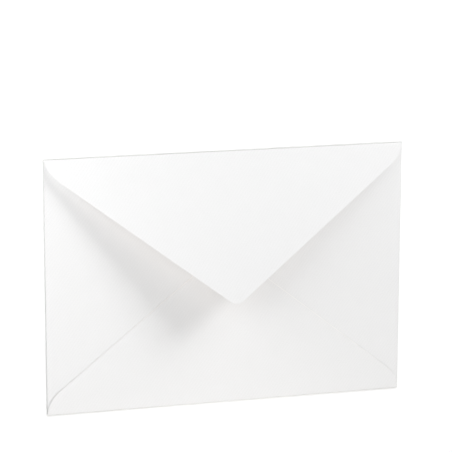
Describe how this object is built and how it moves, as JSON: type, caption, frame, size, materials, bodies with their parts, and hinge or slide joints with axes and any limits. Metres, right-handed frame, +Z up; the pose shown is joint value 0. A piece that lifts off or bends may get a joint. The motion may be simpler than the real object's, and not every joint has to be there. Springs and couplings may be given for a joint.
{
  "type": "paper envelope",
  "caption": "Empty white paper envelope with a glued diagonal-seam back and a pointed top flap that stands slightly open.",
  "frame": {"origin": "on the surface that the envelope lies on, under the middle of its front", "axes": "+X along the long side, +Y towards the fold of the top flap, +Z up, out of the back with its flaps"},
  "size_m": [0.162, 0.114, 0.0186],
  "materials": {
    "ribbed_paper": "uncoated white wove paper with fine diagonal ribs, matt"
  },
  "bodies": {
    "root": {"envelope": "ribbed_paper"}
  },
  "joints": []
}
